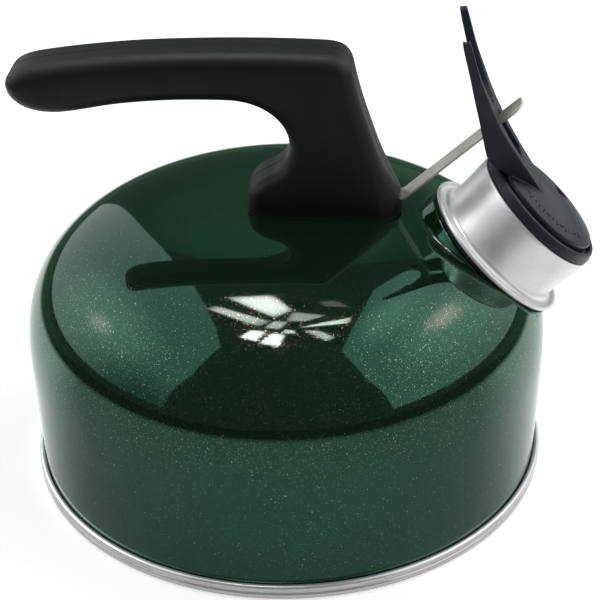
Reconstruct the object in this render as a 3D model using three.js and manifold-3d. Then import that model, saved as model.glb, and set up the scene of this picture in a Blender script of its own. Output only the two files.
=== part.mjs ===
// Stovetop whistling kettle: enamelled drum with a domed top, spun spout neck, two-shell handle
// and a whistle cap that tips open about a flat spring-steel strip.
// Millimetres, +Z up. The origin is the centre of the base's underside, on the drum's axis,
// and +X points from the handle to the spout.
import * as THREE from 'three';
import { mergeVertices } from 'three/addons/utils/BufferGeometryUtils.js';
import Module from 'manifold-3d';

const wasm = await Module();
wasm.setup();

// ---- driving dimensions ----
const GAP = 0.3; // between pieces that rest on, pass through or touch each other
const WALL = 1.2; // drawn enamelled sheet

const RIM_RADIUS = 95; // rolled rim of the base pan
const RIM_HEIGHT = 5.6;
const DRUM_FOOT_RADIUS = 92.6; // drum wall where it enters the rim
const SHOULDER_RADIUS = 93.8;
const SHOULDER_HEIGHT = 47.2; // where the wall turns into the dome
const DOME_TOP = 100.5;
const DOME_SIDE_POWER = 2.7; // superellipse exponents of the dome
const DOME_TOP_POWER = 2.8;

const SPOUT_TILT = THREE.MathUtils.degToRad(43); // spout axis from the vertical, towards +X
const FLANGE_CENTRE = [74.8, 0, 83.4];
const BOSS_RADIUS = 28.5; // raised seat that the neck's flange lands on
const BOSS_TOP = -1.6; // heights in the spout group are above the flange centre
const BOSS_HOLE_RADIUS = 24.3;
const FLAT_DEPTH = 3; // the dome is pressed flatter about the spout
const FLAT_SPAN = [28, 46]; // radii between which the flat fades out
const FLANGE_RADIUS = 29.3;
const NECK_ROOT_RADIUS = 24.6;
const NECK_MOUTH_RADIUS = 25.2;
const NECK_TOP = 20.6;
const NECK_SHEET = 1;

const RING_RADIUS = 24.9; // whistle ring, outside at its foot
const RING_TOP_RADIUS = 24.2;
const RING_FOOT = NECK_TOP + GAP;
const RING_TOP = 24.4;
const DISC_RADIUS = 21.3; // domed disc that carries the lever
const DISC_EDGE_TOP = 25.9;
const DISC_CROWN = 3.2;

const GRIP_HALF_WIDTH = 11.4;
const GRIP_EDGE = 5.4; // rounding of the handle's long edges
const SHELL_WALL = 3;

const STRIP_WIDTH = 8;
const STRIP_THICKNESS = 0.8;
const STRIP_RISE = THREE.MathUtils.degToRad(42); // strip's climb from the handle's nose
const PIVOT = [73.5, 0, 132.2]; // whistle hinge, across the strip's two notches
const NOTCH_LENGTH = 4.2;
const NOTCH_DEPTH = 0.8;

const ROUND = 60; // sides of the large turned pieces
const SPOUT_ROUND = 40;
const SMALL_ROUND = 12;

// ---- colours ----
const finish = (color, roughness, metalness) => (
  new THREE.MeshStandardMaterial({ color, roughness, metalness }));
const ENAMEL = finish(0x14442f, 0.15, 0);
const ALUMINIUM = finish(0xcfcfd0, 0.3, 1);
const STEEL = finish(0xb9b5a8, 0.35, 1);
const HANDLE_PLASTIC = finish(0x17191b, 0.45, 0);
const WHISTLE_PLASTIC = finish(0x26282e, 0.4, 0);
const RUBBER = finish(0x0c0c0d, 0.7, 0);

// ---- solid helpers ----
const toSolid = (geometry) => {
  const bare = geometry.index ? geometry.toNonIndexed() : geometry.clone();
  for (const name of Object.keys(bare.attributes)) {
    if (name !== 'position') bare.deleteAttribute(name);
  }
  const merged = mergeVertices(bare, 1e-4);
  const corners = merged.index.array;
  const triVerts = [];
  for (let i = 0; i < corners.length; i += 3) {
    const [a, b, c] = corners.slice(i, i + 3);
    if (a !== b && b !== c && c !== a) triVerts.push(a, b, c);
  }
  return new wasm.Manifold(new wasm.Mesh({
    numProp: 3,
    vertProperties: merged.attributes.position.array,
    triVerts: Uint32Array.from(triVerts),
  }));
};

const toGeometry = (solid) => {
  const mesh = solid.getMesh();
  const geometry = new THREE.BufferGeometry();
  geometry.setAttribute('position', new THREE.BufferAttribute(mesh.vertProperties, 3));
  geometry.setIndex(new THREE.BufferAttribute(mesh.triVerts, 1));
  geometry.computeVertexNormals();
  return geometry;
};

const piece = (name, solid, material) => {
  const mesh = new THREE.Mesh(toGeometry(solid), material);
  mesh.name = name;
  return mesh;
};

// A turned solid about +Z. The profile lists [radius, height] anticlockwise: up the outside first.
const turned = (profile, sides) => {
  const points = profile.map(([radius, height]) => new THREE.Vector2(radius, height));
  const onAxis = profile[0][0] === 0 && profile.at(-1)[0] === 0;
  if (!onAxis) points.push(points[0].clone());
  return new THREE.LatheGeometry(points, sides).rotateX(Math.PI / 2);
};

const revolve = (profile, sides = ROUND) => toSolid(turned(profile, sides));

const bead = (radius, height, size, from, to, steps) => Array.from({ length: steps + 1 }, (_, i) => {
  const angle = THREE.MathUtils.degToRad(from + ((to - from) * i) / steps);
  return [radius + size * Math.cos(angle), height + size * Math.sin(angle)];
});

// A plate of constant thickness across Y, from an outline drawn in the X-Z plane.
const plateXZ = (shape, yFrom, yTo, bevel = 0, curveSegments = 5) => {
  const geometry = new THREE.ExtrudeGeometry(shape, {
    depth: yTo - yFrom - 2 * bevel,
    curveSegments,
    bevelEnabled: bevel > 0,
    bevelThickness: bevel,
    bevelSize: bevel,
    bevelOffset: -bevel,
    bevelSegments: 3,
  });
  geometry.rotateX(Math.PI / 2);
  geometry.translate(0, yTo - bevel, 0);
  return toSolid(geometry);
};

const polygon = (points) => new THREE.Shape(points.map(([x, z]) => new THREE.Vector2(x, z)));

const box = (sizeX, sizeY, sizeZ, [x, y, z]) => (
  toSolid(new THREE.BoxGeometry(sizeX, sizeY, sizeZ).translate(x, y, z)));

// A pin or bore along Y.
const rodY = (radius, yFrom, yTo, x, z) => toSolid(
  new THREE.CylinderGeometry(radius, radius, yTo - yFrom, SMALL_ROUND).translate(x, (yFrom + yTo) / 2, z));

// A solid with one rectangular section per station: [front u, front s, back u, back s, half-width].
const loftAcrossY = (stations) => {
  const positions = [];
  const index = [];
  for (const [frontU, frontS, backU, backS, half] of stations) {
    positions.push(frontU, -half, frontS, frontU, half, frontS, backU, half, backS, backU, -half, backS);
  }
  for (let i = 0; i < stations.length - 1; i += 1) {
    for (let k = 0; k < 4; k += 1) {
      const a = 4 * i + k;
      const b = 4 * i + ((k + 1) % 4);
      index.push(a, b + 4, b, a, a + 4, b + 4);
    }
  }
  const last = 4 * (stations.length - 1);
  index.push(0, 1, 2, 0, 2, 3, last, last + 2, last + 1, last, last + 3, last + 2);
  const geometry = new THREE.BufferGeometry();
  geometry.setAttribute('position', new THREE.Float32BufferAttribute(positions, 3));
  geometry.setIndex(index);
  return toSolid(geometry);
};

// ---- drum, dome and base ----
// Half of the drum's section, grown or shrunk by an offset, from the foot height to the axis.
const drumProfile = (offset, footHeight, arcSteps = 13) => {
  const sideRadius = SHOULDER_RADIUS + offset;
  const rise = DOME_TOP + offset - SHOULDER_HEIGHT;
  const profile = [[0, footHeight], [DRUM_FOOT_RADIUS + offset, footHeight]];
  for (let i = 0; i <= arcSteps; i += 1) {
    const angle = (Math.PI / 2) * (i / arcSteps);
    const radius = i === arcSteps ? 0 : sideRadius * Math.cos(angle) ** (2 / DOME_SIDE_POWER);
    profile.push([radius, SHOULDER_HEIGHT + rise * Math.sin(angle) ** (2 / DOME_TOP_POWER)]);
  }
  return profile;
};

// Sinks every point of the dome that is near the spout's axis, along that axis.
const pressFlat = (geometry) => {
  const position = geometry.attributes.position;
  const centre = new THREE.Vector3(...FLANGE_CENTRE);
  const axis = new THREE.Vector3(Math.sin(SPOUT_TILT), 0, Math.cos(SPOUT_TILT));
  const point = new THREE.Vector3();
  for (let i = 0; i < position.count; i += 1) {
    point.fromBufferAttribute(position, i);
    const along = point.clone().sub(centre).dot(axis);
    const distance = point.clone().sub(centre).addScaledVector(axis, -along).length();
    const depth = FLAT_DEPTH * (1 - THREE.MathUtils.smoothstep(distance, ...FLAT_SPAN));
    if (along > -45) point.addScaledVector(axis, -depth);
    position.setXYZ(i, point.x, point.y, point.z);
  }
  return geometry;
};

const drumSolid = (offset, footHeight) => toSolid(pressFlat(turned(drumProfile(offset, footHeight), ROUND)));

const inSpoutFrame = (solid) => solid.rotate([0, THREE.MathUtils.radToDeg(SPOUT_TILT), 0])
  .translate(FLANGE_CENTRE);

const RIVETS = [
  { name: 'saddle_rivet_left', x: 3, y: 4.3 },
  { name: 'saddle_rivet_right', x: 3, y: -4.3 },
  { name: 'saddle_rivet_front', x: 12.2, y: 0 },
];
const RIVET_RADIUS = 1.5;

const rodZ = (radius, zFrom, zTo, x, y, sides = SMALL_ROUND) => toSolid(
  new THREE.CylinderGeometry(radius, radius, zTo - zFrom, sides)
    .rotateX(Math.PI / 2).translate(x, y, (zFrom + zTo) / 2));

const drillForRivets = (solid) => RIVETS.reduce(
  (cut, { x, y }) => cut.subtract(rodZ(RIVET_RADIUS + GAP, 90, 112, x, y)), solid);

const DRUM_EDGE = 1 + GAP; // lower edge of the drum, just above the base plate

const kettleBody = () => {
  const depth = -40;
  const seat = inSpoutFrame(revolve([[0, depth], [BOSS_RADIUS, depth], [BOSS_RADIUS, BOSS_TOP - 0.8],
    [BOSS_RADIUS - 0.8, BOSS_TOP], [0, BOSS_TOP]], SPOUT_ROUND));
  const seatRoom = inSpoutFrame(revolve([[0, depth - 1], [BOSS_RADIUS - WALL, depth - 1],
    [BOSS_RADIUS - WALL, BOSS_TOP - WALL], [0, BOSS_TOP - WALL]], SPOUT_ROUND));
  const neckHole = inSpoutFrame(rodZ(BOSS_HOLE_RADIUS, -20, 5, 0, 0, SPOUT_ROUND));
  const skin = drumSolid(0, DRUM_EDGE).add(seat);
  const hollow = drumSolid(-WALL, DRUM_EDGE - 1).add(seatRoom).add(neckHole);
  return piece('kettle_body', drillForRivets(skin.subtract(hollow)), ENAMEL);
};

const basePan = () => {
  const inside = DRUM_FOOT_RADIUS + GAP;
  const lower = bead(RIM_RADIUS - 1.6, 1.6, 1.6, -90, 40, 5);
  const upper = bead(RIM_RADIUS - 1.2, RIM_HEIGHT - 1, 1, -40, 120, 5);
  return piece('base_pan', revolve([[0, 0], [RIM_RADIUS - 4, 0], ...lower, ...upper,
    [inside + 0.2, RIM_HEIGHT - 1], [inside, 1], [0, 1]]), ALUMINIUM);
};

// ---- spout neck, seal and lock ring (spout group: +Z along the spout axis) ----
const COLLAR_RADIUS = 23.6; // neck's collar inside the drum

const spoutNeck = () => {
  const profile = [
    [COLLAR_RADIUS - NECK_SHEET, -6.2],
    [COLLAR_RADIUS, -6.2],
    [COLLAR_RADIUS, 0],
    ...bead(FLANGE_RADIUS - 0.9, 0.9, 0.9, -90, 120, 5),
    [FLANGE_RADIUS - 2.4, 1.2],
    [NECK_ROOT_RADIUS + 1.2, 1.1],
    [NECK_ROOT_RADIUS + 0.2, 1.8],
    [NECK_ROOT_RADIUS, 3],
    [NECK_ROOT_RADIUS, 8],
    [NECK_MOUTH_RADIUS - 0.2, 15],
    [NECK_MOUTH_RADIUS, NECK_TOP - 0.5],
    [NECK_MOUTH_RADIUS - 0.3, NECK_TOP],
    [NECK_MOUTH_RADIUS - NECK_SHEET, NECK_TOP],
    [NECK_MOUTH_RADIUS - 0.2 - NECK_SHEET, 15],
    [NECK_ROOT_RADIUS - NECK_SHEET, 8],
    [NECK_ROOT_RADIUS - NECK_SHEET, 2],
  ];
  return piece('spout_neck', revolve(profile, SPOUT_ROUND), ALUMINIUM);
};

const spoutSeal = () => piece('spout_seal', revolve([
  [BOSS_HOLE_RADIUS, BOSS_TOP + GAP],
  [BOSS_RADIUS - 0.3, BOSS_TOP + GAP],
  [BOSS_RADIUS - 0.3, -GAP],
  [BOSS_HOLE_RADIUS, -GAP],
], SPOUT_ROUND), RUBBER);

const spoutLockRing = () => {
  const top = BOSS_TOP - WALL - GAP;
  const inner = COLLAR_RADIUS + GAP;
  const outer = 27;
  return piece('spout_lock_ring', revolve([
    [inner, top - 1.4], [outer, top - 1.4], [outer, top], [inner, top],
  ], 32), STEEL);
};

// ---- handle ----
const FOOT_FRONT = 42;
const FOOT_BACK = -12.3;
const FOOT_DEEP = 94; // the outline runs on below the dome and is trimmed to it

// Side outline of the handle: foot on the dome, leaning stem and a long grip over the drum.
const handleShape = () => {
  const shape = new THREE.Shape();
  shape.moveTo(FOOT_BACK, FOOT_DEEP);
  shape.lineTo(FOOT_FRONT, FOOT_DEEP);
  shape.lineTo(FOOT_FRONT, 103);
  shape.bezierCurveTo(41, 109, 36, 113, 32.2, 125);
  shape.bezierCurveTo(28.5, 136, 26.5, 142, 24.6, 151.5);
  shape.bezierCurveTo(23.6, 156.2, 21, 158.2, 15, 158.5);
  shape.bezierCurveTo(-5, 159.6, -30, 159.2, -48, 158.2);
  shape.bezierCurveTo(-62, 157.2, -74, 155.8, -83, 154.2);
  shape.bezierCurveTo(-88.9, 153.1, -93.2, 150.9, -92.9, 146.4);
  shape.bezierCurveTo(-92.6, 142.3, -88.6, 138.9, -83.4, 137.7);
  shape.bezierCurveTo(-80.9, 137.1, -78, 136.9, -75, 137.1);
  shape.bezierCurveTo(-68, 137.7, -62, 139.4, -54, 140.4);
  shape.bezierCurveTo(-42, 141.8, -30, 142.3, -17, 141.8);
  shape.bezierCurveTo(-3, 141, 4.6, 131, 2.6, 122.6);
  shape.bezierCurveTo(1.2, 117.2, -1.5, 115.6, -5.5, 113.8);
  shape.bezierCurveTo(-10, 111.6, -12.3, 108, FOOT_BACK, 104);
  return shape;
};

// The hollow inside the two shells: the outline drawn a wall's thickness in, in two stretches.
const handleRoom = () => {
  const back = FOOT_BACK + SHELL_WALL;
  const front = FOOT_FRONT - SHELL_WALL;
  const stem = polygon([[back, FOOT_DEEP], [front, FOOT_DEEP], [front, 102], [29, 122], [22, 150], [19, 155.5],
    [-2, 155.8], [-8, 147], [5.5, 137], [5.8, 122], [1, 112.5], [back, 106]]);
  const grip = polygon([[-1, 155.8], [-45, 155.2], [-82, 150.8], [-88.8, 147.4], [-86.2, 142.6], [-80, 140.4],
    [-54, 143.6], [-30, 145.2], [-8, 144.6], [-1, 147.5]]);
  const half = GRIP_HALF_WIDTH - SHELL_WALL;
  return plateXZ(stem, -half, half).add(plateXZ(grip, -half, half));
};

const SCREWS = [
  { name: 'handle_screw_foot_rear', x: -3, z: 108 },
  { name: 'handle_screw_foot_front', x: 5.6, z: 108 },
  { name: 'handle_screw_stem', x: 17, z: 136 },
  { name: 'handle_screw_middle', x: -32, z: 150.2 },
  { name: 'handle_screw_end', x: -79, z: 146.2 },
];
const SHANK_RADIUS = 1.4;
const HEAD_RADIUS = 2.8;
const HEAD_SEAT = 7.6; // inner end of each screw head's pocket in the left shell
const SCREW_BOSS = 3.4;
const LUG_X = [-6.8, 9.4];
const LUG_HALF = 1;
const SADDLE_TOP = DOME_TOP + 2.6;
const FOOT_LIFT = 1.5; // height of the foot above the enamel, taken up by the gasket

const LUG_HEIGHT = 8; // above the saddle's plate

const lugRoom = () => box(LUG_X[1] - LUG_X[0] + 1, 2 * (LUG_HALF + GAP), LUG_HEIGHT + 4.6,
  [(LUG_X[0] + LUG_X[1]) / 2, 0, SADDLE_TOP + LUG_HEIGHT / 2 - 1.7]);

// One half of the handle; side is +1 for the left shell (+Y) and -1 for the right.
const handleShell = (name, side) => {
  const width = GRIP_HALF_WIDTH;
  const spanY = (inner, outer) => (side > 0 ? [inner, outer] : [-outer, -inner]);
  let shell = plateXZ(handleShape(), -width, width, GRIP_EDGE, 5).subtract(handleRoom());
  for (const { x, z } of SCREWS) {
    shell = shell.add(rodY(SCREW_BOSS, ...spanY(0, width - 2), x, z));
    shell = shell.subtract(rodY(SHANK_RADIUS + GAP, -width + 2.4, width + 1, x, z));
    if (side > 0) shell = shell.subtract(rodY(HEAD_RADIUS + GAP, HEAD_SEAT, width + 1, x, z));
  }
  const stripSlot = box(14, STRIP_WIDTH + 1, 3.4, [FOOT_FRONT - 2, 0, STRIP_TAIL + 0.6]);
  const half = box(200, 40, 120, [-26, side * (20 + GAP / 2), 130]);
  return piece(name, shell.subtract(stripSlot).subtract(lugRoom()).intersect(half)
    .subtract(drumSolid(FOOT_LIFT, 20)), HANDLE_PLASTIC);
};

const handleScrew = ({ name, x, z }) => {
  const head = rodY(HEAD_RADIUS, HEAD_SEAT + GAP, HEAD_SEAT + 2.3, x, z);
  const shank = rodY(SHANK_RADIUS, -GRIP_HALF_WIDTH + 3, HEAD_SEAT + 1, x, z);
  return piece(name, head.add(shank), STEEL);
};

// ---- foot gasket, saddle and rivets ----
const footGasket = () => {
  const outer = 9.6;
  const inner = 7.6;
  const outline = new THREE.Shape();
  outline.moveTo(FOOT_BACK + 1, -outer);
  outline.lineTo(FOOT_FRONT - outer - 0.6, -outer);
  outline.absarc(FOOT_FRONT - outer - 0.6, 0, outer, -Math.PI / 2, Math.PI / 2, false);
  outline.lineTo(FOOT_BACK + 1, outer);
  outline.closePath();
  const window = new THREE.Path();
  window.moveTo(-9.6, -inner);
  window.lineTo(-9.6, inner);
  window.lineTo(31.5, inner);
  window.lineTo(31.5, -inner);
  window.closePath();
  outline.holes.push(window);
  const prism = toSolid(new THREE.ExtrudeGeometry(outline, { depth: 20, bevelEnabled: false, curveSegments: 8 })
    .translate(0, 0, 90));
  const pad = prism.subtract(drumSolid(GAP, 20)).intersect(drumSolid(FOOT_LIFT - GAP, 20));
  return piece('foot_gasket', pad, RUBBER);
};

const STUD_X = 22;
const STUD_RADIUS = 1.9;

const handleSaddle = () => {
  const plate = box(38, 14, 8, [11, 0, SADDLE_TOP - 4]).subtract(drumSolid(GAP, 20));
  let lug = box(LUG_X[1] - LUG_X[0], 2 * LUG_HALF, LUG_HEIGHT + 0.5,
    [(LUG_X[0] + LUG_X[1]) / 2, 0, SADDLE_TOP + LUG_HEIGHT / 2 - 0.25]);
  for (const { x, z } of SCREWS.slice(0, 2)) lug = lug.subtract(rodY(SHANK_RADIUS + GAP, -3, 3, x, z));
  const stud = rodZ(STUD_RADIUS, SADDLE_TOP - 1, SADDLE_TOP + 6.6, STUD_X, 0);
  return piece('handle_saddle', drillForRivets(plate).add(lug).add(stud), STEEL);
};

const saddleRivet = ({ name, x, y }) => {
  const inside = DOME_TOP - WALL - 2 * GAP; // clear of the dome's curved inner face
  const rivet = revolve([[0, inside - 1.2], [1.8, inside - 1.2], [2.6, inside - 0.6], [2.6, inside],
    [RIVET_RADIUS, inside], [RIVET_RADIUS, SADDLE_TOP + GAP], [2.6, SADDLE_TOP + GAP], [2.2, SADDLE_TOP + 1],
    [1.2, SADDLE_TOP + 1.4], [0, SADDLE_TOP + 1.4]], SMALL_ROUND);
  return piece(name, rivet.translate([x, y, 0]), STEEL);
};

// ---- whistle strip and its fastening ----
const STRIP_TAIL = SADDLE_TOP + GAP + STRIP_THICKNESS / 2; // mid-thickness of the flat tail
const STRIP_BEND_X = PIVOT[0] - (PIVOT[2] - STRIP_TAIL) / Math.tan(STRIP_RISE);
const STRIP_REACH = 10.4; // beyond the pivot
const TAIL_END_X = 16.6;

const whistleStrip = () => {
  const half = STRIP_WIDTH / 2;
  const toPivot = (PIVOT[0] - STRIP_BEND_X) / Math.cos(STRIP_RISE);
  const end = toPivot + STRIP_REACH;
  const lap = 0.15; // closes the outside of the bend
  const neck = half - NOTCH_DEPTH;
  const notch = [toPivot - NOTCH_LENGTH / 2, toPivot + NOTCH_LENGTH / 2];
  const side = [[-lap, half], [notch[0], half], [notch[0], neck], [notch[1], neck], [notch[1], half],
    [end - 2.6, half], [end - 0.8, half - 1], [end, half - 2.6]];
  const plan = [...side, ...side.map(([x, y]) => [x, -y]).reverse()].reverse();
  const arm = toSolid(new THREE.ExtrudeGeometry(polygon(plan), { depth: STRIP_THICKNESS, bevelEnabled: false })
    .translate(0, 0, -STRIP_THICKNESS / 2).rotateY(-STRIP_RISE).translate(STRIP_BEND_X, 0, STRIP_TAIL));
  const tail = box(STRIP_BEND_X + lap - TAIL_END_X, STRIP_WIDTH, STRIP_THICKNESS,
    [(STRIP_BEND_X + lap + TAIL_END_X) / 2, 0, STRIP_TAIL]);
  const hole = rodZ(STUD_RADIUS + GAP, STRIP_TAIL - 2, STRIP_TAIL + 2, STUD_X, 0);
  return piece('whistle_strip', arm.add(tail).subtract(hole), STEEL);
};

const collarOnStud = (name, outer, bottom, height, sides) => {
  const inner = STUD_RADIUS + GAP;
  const ring = rodZ(outer, bottom, bottom + height, STUD_X, 0, sides)
    .subtract(rodZ(inner, bottom - 1, bottom + height + 1, STUD_X, 0));
  return piece(name, ring, STEEL);
};

const WASHER_BOTTOM = STRIP_TAIL + STRIP_THICKNESS / 2 + GAP;
const stripWasher = () => collarOnStud('strip_washer', 4, WASHER_BOTTOM, 0.8, 20);
const stripNut = () => collarOnStud('strip_nut', 4, WASHER_BOTTOM + 0.8 + GAP, 3, 6);

// ---- whistle cap and lever (spout group) ----
const FLOOR_TOP = 22.4; // ring's floor, which the disc stands on
const DISC_FOOT = FLOOR_TOP + GAP;
const CAP_SCREW_CIRCLE = 17;
const CAP_SCREW_ANGLES = [0, 120, 240].map(THREE.MathUtils.degToRad);
const CAP_SHANK_RADIUS = 1;

const capScrewCentre = (angle) => [CAP_SCREW_CIRCLE * Math.cos(angle), CAP_SCREW_CIRCLE * Math.sin(angle)];

const drillForCapScrews = (solid) => CAP_SCREW_ANGLES.reduce((cut, angle) => (
  cut.subtract(rodZ(CAP_SHANK_RADIUS + GAP, 10, 26, ...capScrewCentre(angle)))), solid);

const whistleRing = () => piece('whistle_ring', drillForCapScrews(revolve([
  [12, RING_FOOT],
  [RING_RADIUS, RING_FOOT],
  [RING_RADIUS, RING_FOOT + 1],
  [RING_TOP_RADIUS, RING_TOP - 0.5],
  [RING_TOP_RADIUS - 0.5, RING_TOP],
  [DISC_RADIUS + 1.4, RING_TOP],
  [DISC_RADIUS + 1.2, FLOOR_TOP],
  [12, FLOOR_TOP],
], SPOUT_ROUND)), WHISTLE_PLASTIC);

// Height of the disc's domed face, or of a face a constant drop under it, at a radius.
const crownHeight = (radius, drop = 0) => DISC_EDGE_TOP + DISC_CROWN * (1 - (radius / DISC_RADIUS) ** 2) - drop;

const domedDisc = () => {
  const radii = [0, 5, 10, 15, 19];
  const sheet = 2;
  return revolve([
    ...radii.map((radius) => [radius, crownHeight(radius, sheet)]),
    [19, DISC_FOOT],
    [DISC_RADIUS, DISC_FOOT],
    [DISC_RADIUS, DISC_EDGE_TOP - 0.5],
    [DISC_RADIUS - 0.4, DISC_EDGE_TOP + 0.1],
    ...radii.reverse().map((radius) => [radius, crownHeight(radius)]),
  ], SPOUT_ROUND);
};

// The lever is a channel: a front web that sweeps up from the disc, with a fin along each side.
// Each station lists [front u, front s, back u, back s, half-width] in the spout group.
const LEVER_STATIONS = [
  [-65.9, 52.7, -67.6, 50.6, 17.5],
  [-54.9, 45.9, -57.3, 43.6, 16.3],
  [-46.7, 41.8, -50, 38.6, 15],
  [-38.5, 38, -43.6, 34.3, 13.4],
  [-30.7, 35.1, -37, 29.8, 11.6],
  [-25.7, 33.6, -32.6, 26.8, 10.3],
  [-20, 32.1, -28, 24.9, 9.1],
  [-15, 31, -20.5, 24.9, 8.2],
  [-7.7, 29.8, -14, 25.4, 7.6],
  [0, 28.9, -2, 26.2, 7.2],
];
// Room between the fins, behind the web.
const CHANNEL_STATIONS = [
  [-47.5, 39.3, -53, 34.5, 12.3],
  [-39.3, 35.6, -46, 30, 10.8],
  [-31.5, 32.7, -40, 25, 9],
  [-26.4, 31.2, -36, 21, 7.7],
  [-21, 29.9, -31, 18, 6.5],
];
// The open V between the two prongs.
const NOTCH_STATIONS = [
  [-70, 58, -76, 48, 15.2],
  [-64, 56, -70, 44, 14.4],
  [-53, 50, -60, 38, 12.6],
  [-44, 44, -52, 32, 8.4],
  [-38.6, 41, -46, 30, 2.6],
];

const PIVOT_RUN = PIVOT[0] - FLANGE_CENTRE[0];
const PIVOT_RISE = PIVOT[2] - FLANGE_CENTRE[2];
// The pivot in the spout group: along the group's X and Z.
const PIVOT_LOCAL = [
  PIVOT_RUN * Math.cos(SPOUT_TILT) - PIVOT_RISE * Math.sin(SPOUT_TILT),
  PIVOT_RUN * Math.sin(SPOUT_TILT) + PIVOT_RISE * Math.cos(SPOUT_TILT),
];
const SLOT_SLOPE = THREE.MathUtils.degToRad(20.4); // the web's slope at the slot
const LUG_DEPTH = 0.9; // how far each lug stands into the slot, to sit in the strip's notch
const SLOT_HALF_WIDTH = 4.5;
const SLOT_ABOVE = 2.4;
const SLOT_BELOW = 14.2;

// A block set square to the web at the pivot: x runs up the web, z out of its front face.
const onWeb = (solid) => solid.rotate([0, THREE.MathUtils.radToDeg(SLOT_SLOPE) + 180, 0])
  .translate([PIVOT_LOCAL[0], 0, PIVOT_LOCAL[1]]);

const whistleLever = () => {
  const length = SLOT_ABOVE + SLOT_BELOW;
  const slot = onWeb(box(length, 2 * SLOT_HALF_WIDTH, 12, [SLOT_ABOVE - length / 2, 0, 0]));
  let lever = loftAcrossY(LEVER_STATIONS).subtract(loftAcrossY(CHANNEL_STATIONS))
    .subtract(loftAcrossY(NOTCH_STATIONS)).subtract(slot);
  for (const side of [-1, 1]) {
    const lug = box(1.4, 1.5, 2.2, [0, side * (SLOT_HALF_WIDTH - LUG_DEPTH + 0.75), -0.2]);
    lever = lever.add(onWeb(lug));
  }
  let cap = domedDisc().add(lever);
  for (const angle of CAP_SCREW_ANGLES) {
    cap = cap.add(rodZ(2.6, DISC_FOOT, crownHeight(CAP_SCREW_CIRCLE, 0.6), ...capScrewCentre(angle)));
  }
  const steamHole = rodZ(2.7, 20, 40, 4.5, 8.2);
  return piece('whistle_lever', drillForCapScrews(cap.subtract(steamHole)), WHISTLE_PLASTIC);
};

// ---- plug and whistle plates under the cap ----
const PLUG_RADIUS = 22;
const PLATE_RADIUS = 20.8;
const WHISTLE_HOLE = 1.6;

const PLUG_SHEET = 0.6;
const PLUG_DEPTH = 5.4;
const PLATE_SHEET = 0.5;
const SPACER_HEIGHT = 1.5;
const PLUG_TOP = RING_FOOT - GAP;
const UPPER_PLATE = PLUG_TOP - PLUG_SHEET - GAP - PLATE_SHEET; // lower face of each plate
const SPACER = UPPER_PLATE - GAP - SPACER_HEIGHT;
const LOWER_PLATE = SPACER - GAP - PLATE_SHEET;
const CAP_HEAD = 1;
const CAP_HEAD_BOTTOM = LOWER_PLATE - GAP - CAP_HEAD;

const plugSkirt = () => piece('plug_skirt', drillForCapScrews(revolve([
  [PLUG_RADIUS - 2 * PLUG_SHEET, PLUG_TOP - PLUG_DEPTH],
  [PLUG_RADIUS - PLUG_SHEET, PLUG_TOP - PLUG_DEPTH],
  [PLUG_RADIUS, PLUG_TOP - PLUG_DEPTH + 1.4],
  [PLUG_RADIUS, PLUG_TOP],
  [14, PLUG_TOP],
  [14, PLUG_TOP - PLUG_SHEET],
  [PLUG_RADIUS - PLUG_SHEET, PLUG_TOP - PLUG_SHEET],
], 32)), STEEL);

const whistlePlate = (name, bottom, hole, thickness = PLATE_SHEET) => piece(name, drillForCapScrews(revolve([
  [hole, bottom], [PLATE_RADIUS, bottom], [PLATE_RADIUS, bottom + thickness], [hole, bottom + thickness],
], 32)), ALUMINIUM);

const capScrew = (angle, i) => {
  const centre = capScrewCentre(angle);
  const head = rodZ(2.1, CAP_HEAD_BOTTOM, CAP_HEAD_BOTTOM + CAP_HEAD, ...centre);
  const shank = rodZ(CAP_SHANK_RADIUS, CAP_HEAD_BOTTOM + 0.5, 25.4, ...centre);
  return piece(`cap_screw_${i + 1}`, head.add(shank), STEEL);
};

// ---- assembly ----
const kettle = new THREE.Group();
kettle.add(kettleBody(), basePan());
kettle.add(footGasket(), handleSaddle(), ...RIVETS.map(saddleRivet));
kettle.add(handleShell('handle_shell_left', 1), handleShell('handle_shell_right', -1));
kettle.add(...SCREWS.map(handleScrew));
kettle.add(whistleStrip(), stripWasher(), stripNut());

const spout = new THREE.Group();
spout.position.set(...FLANGE_CENTRE);
spout.rotation.y = SPOUT_TILT;
spout.add(spoutNeck(), spoutSeal(), spoutLockRing());
spout.add(whistleRing(), whistleLever(), plugSkirt());
spout.add(whistlePlate('whistle_upper_plate', UPPER_PLATE, WHISTLE_HOLE));
spout.add(whistlePlate('whistle_spacer', SPACER, 14.5, SPACER_HEIGHT));
spout.add(whistlePlate('whistle_lower_plate', LOWER_PLATE, WHISTLE_HOLE), ...CAP_SCREW_ANGLES.map(capScrew));
kettle.add(spout);

export default kettle;
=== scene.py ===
"""Looks of the stovetop whistling kettle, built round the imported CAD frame.

Lengths in this file are millimetres unless a name ends in _M; meshes are scaled to metres when
they are made. Spout coordinates are (u, y, s): s along the spout's axis from the flange centre and
u downhill from the axis in the middle plane.
"""

from contextlib import contextmanager
from math import cos, pi, radians, sin, tan

import bmesh
import bpy
import numpy as np
from mathutils import Matrix, Vector
from mathutils.geometry import delaunay_2d_cdt


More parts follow.
